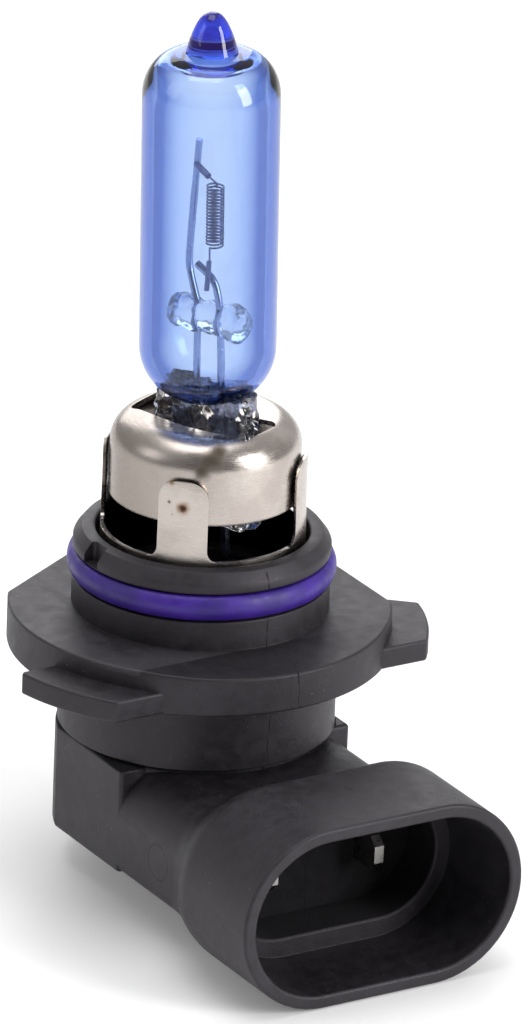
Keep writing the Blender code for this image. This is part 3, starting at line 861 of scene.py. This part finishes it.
def clipRing():
    sheet, outer = clip["sheet"], clipHigh.x
    low, high = clipLow.z, clipHigh.z
    profile = [(outer - sheet, high)]
    profile += [(outer, high)] + [(outer, high + (low - high) * i / 12) for i in range(1, 13)]
    profile += [(outer - sheet, low)] + [(outer - sheet, low + (high - low) * i / 12) for i in range(1, 13)]
    ring = turned("clipBand", profile, 180)
    for i in range(4):
        combine(ring, windowForm(clip["firstTab"] + 45 + 90 * i), "DIFFERENCE")
    # the tabs lean in until they touch the cap
    editing(ring)
    shape = bmesh.from_edit_mesh(ring.data)
    span = high - clip["bandTop"]
    for vert in shape.verts:
        above = (vert.co.z - clip["bandTop"] + 0.6 * mm) / span
        if above > 0:
            shift = -clip["lean"] * min(1, above * 1.6) ** 1.5
            radial = vert.co.xy.normalized() * shift
            vert.co.x += radial.x
            vert.co.y += radial.y
    bmesh.update_edit_mesh(ring.data)
    done(ring)
    soften(ring, 0.07 * mm, 3, 50)
    settle(ring, 40)
    front = clip["firstTab"] + 180
    burn, rust = (0.05, 0.018, 0.03), (0.30, 0.13, 0.03)
    marks = [
        (onCap(front, outer, 10.8 * mm), 0.95 * mm, rust),
        (onCap(front, outer, 10.8 * mm), 0.6 * mm, burn),
        (onCap(front - 7, outer, 12.85 * mm), 0.5 * mm, rust),
        (onCap(front - 8, outer, 11.2 * mm), 0.3 * mm, burn),
        (onCap(front - 6, outer, 10.2 * mm), 0.18 * mm, rust),
        (onCap(front + 9, outer, 9.9 * mm), 0.12 * mm, burn),
    ]
    return keep(ring, plated("clip nickel", clipHigh.x - 0.2 * mm, 0.15, marks), "plated_steel", "clip_ring")


metalCap()
clipRing()
print("cap and clip ring done")

# ---------------------------------------------------------------- glass

capsule = {
    "sealAngle": -66,
    "lean": 1.2,
    "leanAxis": 58.5,
    "leanHeight": 14.0 * mm,
    "tube": 5.3 * mm,
    "wall": 0.95 * mm,
    "tubeBottom": 21.4 * mm,
    "bowl": 4.5 * mm,
    "roof": 2.2 * mm,
    "shoulder": 41.75 * mm,
    "crown": 45.2 * mm,
    "tipTop": 48.25 * mm,
    "tip": 2.0 * mm,
    "press": (9.2 * mm, 2.8 * mm),
    "pressBottom": 7.2 * mm,
}


def capsulePlace():
    pivot = Matrix.Translation((0, 0, capsule["leanHeight"]))
    angle = math.radians(capsule["leanAxis"])
    axis = Vector((math.cos(angle), math.sin(angle), 0))
    lean = pivot @ Matrix.Rotation(-math.radians(capsule["lean"]), 4, axis) @ pivot.inverted()
    return lean @ Matrix.Rotation(math.radians(capsule["sealAngle"]), 4, "Z")


inCapsule = capsulePlace()


def tinted(name, colour, density, stops, roughness=0.0, dyeAndGlow=None):
    finish = Finish(name, (1, 1, 1), roughness, **{"Transmission Weight": 1.0, "IOR": 1.46})
    volume = finish.tree.nodes.new("ShaderNodeVolumeAbsorption")
    volume.inputs["Color"].default_value = (*colour, 1)
    volume.inputs["Density"].default_value = density
    output = next(n for n in finish.tree.nodes if n.type == "OUTPUT_MATERIAL")
    finish.tree.links.new(volume.outputs["Volume"], output.inputs["Volume"])
    wave = finish.noise(3.0 * mm, 2, place=finish.stretched((1, 1, 0.35)))
    facing = finish.node("ShaderNodeLayerWeight", values={"Blend": 0.5}, output="Facing")
    shade = finish.node("ShaderNodeValToRGB", {"stops": stops}, {0: facing})
    if dyeAndGlow:
        # above a height the dye is thick, and there the glass also gets a painted glow: a faint deep blue emission
        thick = finish.steps(finish.part("Z"), dyeAndGlow, dyeAndGlow + 0.5 * mm)
        swirl = finish.steps(finish.noise(1.3 * mm, 3), 0.4, 0.65)
        shade = finish.blend(thick * 0.9, shade, finish.blend(swirl, (0.10, 0.07, 0.36), (0.16, 0.16, 0.58)))
        finish.feed(Emission_Color=finish.blend(thick, (0.0, 0.0, 0.0), (0.018, 0.010, 0.10)))
        finish.shader.inputs["Emission Strength"].default_value = 1.0
    finish.feed(Base_Color=shade, Normal=finish.raise_(wave, 0.02 * mm))
    return finish.material


def glassTube():
    tube, wall = capsule["tube"], capsule["wall"]
    shoulder, crown = capsule["shoulder"], capsule["crown"]
    tip, top = capsule["tip"], capsule["tipTop"]
    drop = top - crown
    shares = [1 - math.cos(math.pi / 2 * i / 24) for i in range(25)]
    profile = [(tip * share**0.41, top - drop * share) for share in shares]
    rise = crown - shoulder
    profile += [(tip - 0.12 * mm, crown - 0.1 * mm)]
    profile += [
        (1.95 * mm + (tube - 1.95 * mm) * math.sin(a) ** 0.9, shoulder + rise * math.cos(a) - 0.1 * mm)
        for a in (math.radians(s) for s in range(6, 91, 6))
    ]
    quarter = [math.radians(angle) for angle in range(0, 91, 6)]
    bottom, bowl = capsule["tubeBottom"], capsule["bowl"]
    profile += [(tube * math.cos(a) ** 0.8, bottom - bowl * math.sin(a)) for a in quarter]
    outer = turned("blueCapsule", profile, 128)
    inner = tube - wall
    rise = crown - wall - shoulder
    roof = capsule["roof"]
    hollow = [(0, crown - 0.9 * mm), (roof * 0.7, crown - 1.0 * mm), (roof, crown - 1.35 * mm)]
    hollow += [
        (roof + 0.05 * mm + (inner - roof - 0.05 * mm) * math.sin(a) ** 0.65, shoulder + rise * math.cos(a) ** 0.7)
        for a in quarter
    ]
    hollow += [(inner * math.cos(a) ** 0.8, bottom - (bowl - 0.6 * mm) * math.sin(a)) for a in quarter]
    lining = turned("lining", hollow, 128)
    editing(lining)
    bpy.ops.mesh.select_all(action="SELECT")
    bpy.ops.mesh.flip_normals()
    done(lining)
    deselect()
    lining.select_set(True)
    outer.select_set(True)
    bpy.context.view_layer.objects.active = outer
    bpy.ops.object.join()
    outer.data.transform(inCapsule)
    settle(outer, 40)
    stops = (
        (0.0, (1.0, 1.0, 0.97, 1)),
        (0.2, (0.80, 0.85, 0.93, 1)),
        (0.5, (0.10, 0.17, 0.47, 1)),
        (0.78, (0.12, 0.19, 0.48, 1)),
    )
    blue = tinted("blue coated glass", (0.02, 0.34, 0.86), 460, stops, dyeAndGlow=crown - 0.2 * mm)
    return keep(outer, blue, "blue_glass", "glass_envelope")


def pressSeal():
    width, depth = capsule["press"]
    low, high = capsule["pressBottom"], capsule["tubeBottom"] - 3.6 * mm
    pressed = slab("pressSeal", width, depth, depth * 0.3, high - low, level(low), 5)
    modify(pressed, "REMESH", mode="VOXEL", voxel_size=0.15 * mm)
    crumple = bpy.data.textures.new("crumple", "CLOUDS")
    crumple.noise_scale = 1.0 * mm
    crumple.noise_depth = 2
    modify(pressed, "DISPLACE", texture=crumple, strength=0.8 * mm, mid_level=0.5)
    modify(pressed, "SMOOTH", factor=0.5, iterations=3)
    # the seal flares a little where it leaves the bowl, and bears long pressed folds
    editing(pressed)
    shape = bmesh.from_edit_mesh(pressed.data)
    for vert in shape.verts:
        rise = (vert.co.z - low) / (high - low)
        vert.co.x *= 1.0 - 0.1 * rise**2
        fold = math.sin(vert.co.x / mm * 4.1 + 1.3 * math.sin(vert.co.z / mm * 0.9))
        vert.co.y *= 1.0 + 0.09 * fold * rise
    bmesh.update_edit_mesh(pressed.data)
    seal = done(pressed)
    seal.data.transform(inCapsule)
    settle(seal, 50)
    stops = ((0.0, (1.0, 1.0, 1.0, 1)), (0.8, (0.85, 0.84, 0.95, 1)))
    clear = tinted("clear pressed quartz", (0.7, 0.74, 0.88), 8, stops)
    return keep(seal, clear, "clear_quartz", "glass_envelope")


glassTube()
pressSeal()
print("glass done")

# ---------------------------------------------------------------- filament and its supports

filament = {
    "radius": 0.64 * mm,
    "wire": 0.075 * mm,
    "turns": 19,
    "bottom": 29.6 * mm,
    "top": 34.5 * mm,
    "offset": 0.5 * mm,
}
supports = {"wire": 0.29 * mm, "foot": 17.9 * mm}


def inside(along, across_, height):
    return inCapsule @ Vector((along, across_, height))


def eased(points, count=10):
    # a smooth curve through a route's own points
    ends = [points[0] * 2 - points[1]] + points + [points[-1] * 2 - points[-2]]
    route = []
    for i in range(1, len(ends) - 2):
        p0, p1, p2, p3 = ends[i - 1 : i + 3]
        for j in range(count):
            t = j / count
            route.append(
                0.5 * (2 * p1 + (p2 - p0) * t + (2 * p0 - 5 * p1 + 4 * p2 - p3) * t**2 + (3 * p1 - p0 - 3 * p2 + p3) * t**3)
            )
    return route + [points[-1]]


def wire(name, route, radius, sides=3):
    # a drawn path with a round section, made a mesh
    deselect()
    bpy.ops.curve.primitive_nurbs_path_add()
    path = bpy.context.object
    path.name = name
    path.data.splines.clear()
    spline = path.data.splines.new("POLY")
    spline.points.add(len(route) - 1)
    for point, place in zip(spline.points, route):
        point.co = (*place, 1)
    path.data.dimensions = "3D"
    path.data.bevel_depth = radius
    path.data.bevel_resolution = sides
    path.data.use_fill_caps = True
    bpy.ops.object.convert(target="MESH")
    piece = bpy.context.object
    editing(piece)
    bpy.ops.mesh.select_all(action="SELECT")
    bpy.ops.mesh.remove_doubles(threshold=0.001 * mm)
    bpy.ops.mesh.normals_make_consistent(inside=False)
    done(piece)
    return settle(piece, 50)


def drawnMetal(name, colour, roughness, grain=1.5 * mm):
    finish = Finish(name, colour, roughness, Metallic=1.0)
    cloud = finish.noise(grain, 3)
    dark = tuple(c * 0.9 for c in colour)
    shade = finish.blend(finish.steps(cloud, 0.35, 0.65), dark, colour)
    finish.feed(
        Base_Color=shade,
        Roughness=finish.steps(cloud, 0.3, 0.7, roughness * 0.8, roughness * 1.3),
        Normal=finish.raise_(finish.noise(0.08 * mm, 2), 0.0012 * mm),
    )
    return finish.material


# painted light: the three wire metals carry a painted blue tint, standing in for the blue light that reaches them
# through the coated glass
molybdenum = drawnMetal("molybdenum wire", (0.40, 0.46, 0.66), 0.24)
crimped = drawnMetal("crimped sleeve", (0.16, 0.19, 0.34), 0.35)
tungsten = drawnMetal("tungsten wire", (0.15, 0.18, 0.33), 0.3)


def supportWires():
    foot = supports["foot"]
    long = [
        inside(-1.0 * mm, 0, foot),
        inside(-1.0 * mm, 0, 20.8 * mm),
        inside(-1.1 * mm, 0.2 * mm, 23.4 * mm),
        inside(-1.5 * mm, 0.5 * mm, 24.7 * mm),
        inside(-2.3 * mm, 0.85 * mm, 26.4 * mm),
        inside(-2.55 * mm, 0.93 * mm, 27.4 * mm),
        inside(-2.5 * mm, 0.92 * mm, 28.8 * mm),
        inside(-2.15 * mm, 0.82 * mm, 32.0 * mm),
        inside(-1.5 * mm, 0.6 * mm, 37.6 * mm),
    ]
    short = [
        inside(1.35 * mm, 0, foot),
        inside(1.15 * mm, 0, 23.2 * mm),
        inside(0.95 * mm, 0.03 * mm, 25.2 * mm),
        inside(0.35 * mm, 0.1 * mm, 26.7 * mm),
        inside(-1.2 * mm, 0.1 * mm, 27.75 * mm),
    ]
    keep(wire("longSupport", eased(long), supports["wire"], 4), molybdenum, "molybdenum", "long_support_wire")
    keep(wire("shortSupport", eased(short), supports["wire"], 4), molybdenum, "molybdenum", "short_support_wire")


def filamentCoil():
    perTurn = 20
    count = filament["turns"] * perTurn
    radius, offset = filament["radius"], filament["offset"]
    tail = inside(offset, -radius, filament["bottom"] - 1.0 * mm)
    route = [tail, inside(offset, -radius, filament["bottom"] - 0.2 * mm)]
    for i in range(count + 1):
        a = fullTurn * i / perTurn - math.pi / 2
        height = filament["bottom"] + (filament["top"] - filament["bottom"]) * i / count
        route.append(inside(offset + radius * math.cos(a), radius * math.sin(a), height))
    route.append(inside(offset + radius * 0.75, -radius * 0.6, filament["top"] + 0.25 * mm))
    route.append(inside(offset + radius * 0.6, -radius * 0.5, filament["top"] + 0.3 * mm))
    route.append(inside(-0.2 * mm, 0.0, filament["top"] + 0.6 * mm))
    keep(wire("coil", route, filament["wire"], 2), tungsten, "tungsten", "filament_coil")


def crimps():
    upper = (inside(-1.75 * mm, 0.5 * mm, 35.65 * mm), inside(-0.15 * mm, 0.0, 35.05 * mm), 0.25 * mm)
    lower = (inside(0.5 * mm, -0.7 * mm, 28.55 * mm), inside(0.25 * mm, -0.62 * mm, 26.1 * mm), 0.2 * mm)
    for name, (first, last, radius), node in (
        ("upperCrimp", upper, "upper_filament_clamp"),
        ("lowerCrimp", lower, "lower_filament_clamp"),
    ):
        sleeve = wire(name, [first.lerp(last, i / 10) for i in range(11)], radius, 5)
        keep(soften(sleeve, 0.04 * mm, 2, 60), crimped, "molybdenum", node)


def quartzBead():
    bead = {"height": 23.6 * mm, "half": 3.65 * mm, "radius": 1.28 * mm}
    half, radius = bead["half"], bead["radius"]
    ends = [math.radians(angle) for angle in range(0, 91, 9)]
    cap_ = [(radius * math.sin(a) ** 0.8, half - radius * 0.7 + radius * 0.7 * math.cos(a)) for a in ends]
    middle = [half * (0.7 - 1.4 * i / 28) for i in range(1, 28)]
    waves = [(radius * (0.97 + 0.05 * math.sin(z / mm * 3.1 + 0.6)), z) for z in middle]
    piece = turned("quartzBead", cap_ + waves + [(r, -z) for r, z in reversed(cap_)], 64)
    lumps = bpy.data.textures.new("lumps", "CLOUDS")
    lumps.noise_scale = 1.3 * mm
    modify(piece, "DISPLACE", texture=lumps, strength=0.7 * mm, mid_level=0.45)
    place = Matrix.Translation((-0.1 * mm, 0.2 * mm, bead["height"]))
    piece.data.transform(inCapsule @ place @ Matrix.Rotation(math.radians(90), 4, "Y"))
    settle(piece, 60)
    stops = ((0.0, (1.0, 1.0, 1.0, 1)), (0.8, (0.75, 0.85, 1.0, 1)))
    clear = tinted("fire polished quartz", (0.8, 0.9, 1.0), 10, stops, roughness=0.12)
    return keep(piece, clear, "clear_quartz", "quartz_bridge")


supportWires()
filamentCoil()
crimps()
quartzBead()
print("filament done")

# ---------------------------------------------------------------- carried-over CAD pieces

tin = drawnMetal("tinned brass", (0.45, 0.44, 0.42), 0.3)
compound = finished(mouldedPlastic("sealing compound"))
carried = {
    "terminal_holder": compound,
    "potting_seal": compound,
    "terminal_left": tin,
    "terminal_right": tin,
    "lead_ferrule_left": tin,
    "lead_ferrule_right": tin,
    "foil_left": molybdenum,
    "foil_right": molybdenum,
    "outer_lead_left": molybdenum,
    "outer_lead_right": molybdenum,
}
for node, finish in carried.items():
    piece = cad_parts[node]
    piece.data.materials.clear()
    piece.data.materials.append(finish)
print("carried-over pieces painted")

# ---------------------------------------------------------------- studio


def skyLight():
    # a soft sky, dimmer on the side the camera stands on
    sky = bpy.data.worlds.new("studio")
    sky.use_nodes = True
    nodes, links = sky.node_tree.nodes, sky.node_tree.links
    place = nodes.new("ShaderNodeTexCoord")
    facing = nodes.new("ShaderNodeVectorMath")
    facing.operation = "DOT_PRODUCT"
    facing.inputs[1].default_value = (0.42, 0.7, 0.58)
    shade = nodes.new("ShaderNodeMapRange")
    for index, value in zip((1, 2, 3, 4), (-0.6, 0.8, 0.14, 0.6)):
        shade.inputs[index].default_value = value
    links.new(place.outputs["Generated"], facing.inputs[0])
    links.new(facing.outputs["Value"], shade.inputs["Value"])
    links.new(shade.outputs["Result"], nodes["Background"].inputs["Strength"])
    nodes["Background"].inputs["Color"].default_value = (1, 1, 1, 1)
    bpy.context.scene.world = sky


softboxes = {
    "right": ((0.24, -0.42, 0.2), (0.16, 0.34), 2.1),
    "back": ((0.22, 0.6, 0.28), (0.5, 0.4), 1.5),
    "top": ((-0.05, 0.05, 0.7), (0.5, 0.5), 2.3),
    "left": ((-0.6, 0.15, 0.3), (0.3, 0.3), 0.5),
}


def studio():
    bpy.context.scene.view_settings.view_transform = "Standard"
    skyLight()
    deselect()
    bpy.ops.mesh.primitive_plane_add(size=4, location=(0, 0, housingLow.z - 0.05 * mm))
    floor = bpy.context.object
    floor.name = "floor"
    paper = Finish("pale paper", (0.93, 0.93, 0.93), 0.9, **{"Emission Strength": 0.1})
    floor.data.materials.append(paper.material)
    for name, (place, (width, height), power) in softboxes.items():
        light = bpy.data.lights.new(name, "AREA")
        light.shape = "RECTANGLE"
        light.size, light.size_y = width, height
        light.energy = power
        lamp = bpy.data.objects.new(name, light)
        aim = Vector((0, 0, 0.01)) - Vector(place)
        lamp.matrix_world = Matrix.Translation(place) @ aim.to_track_quat("-Z", "Y").to_matrix().to_4x4()
        bpy.context.scene.collection.objects.link(lamp)


studio()
print("studio ready")
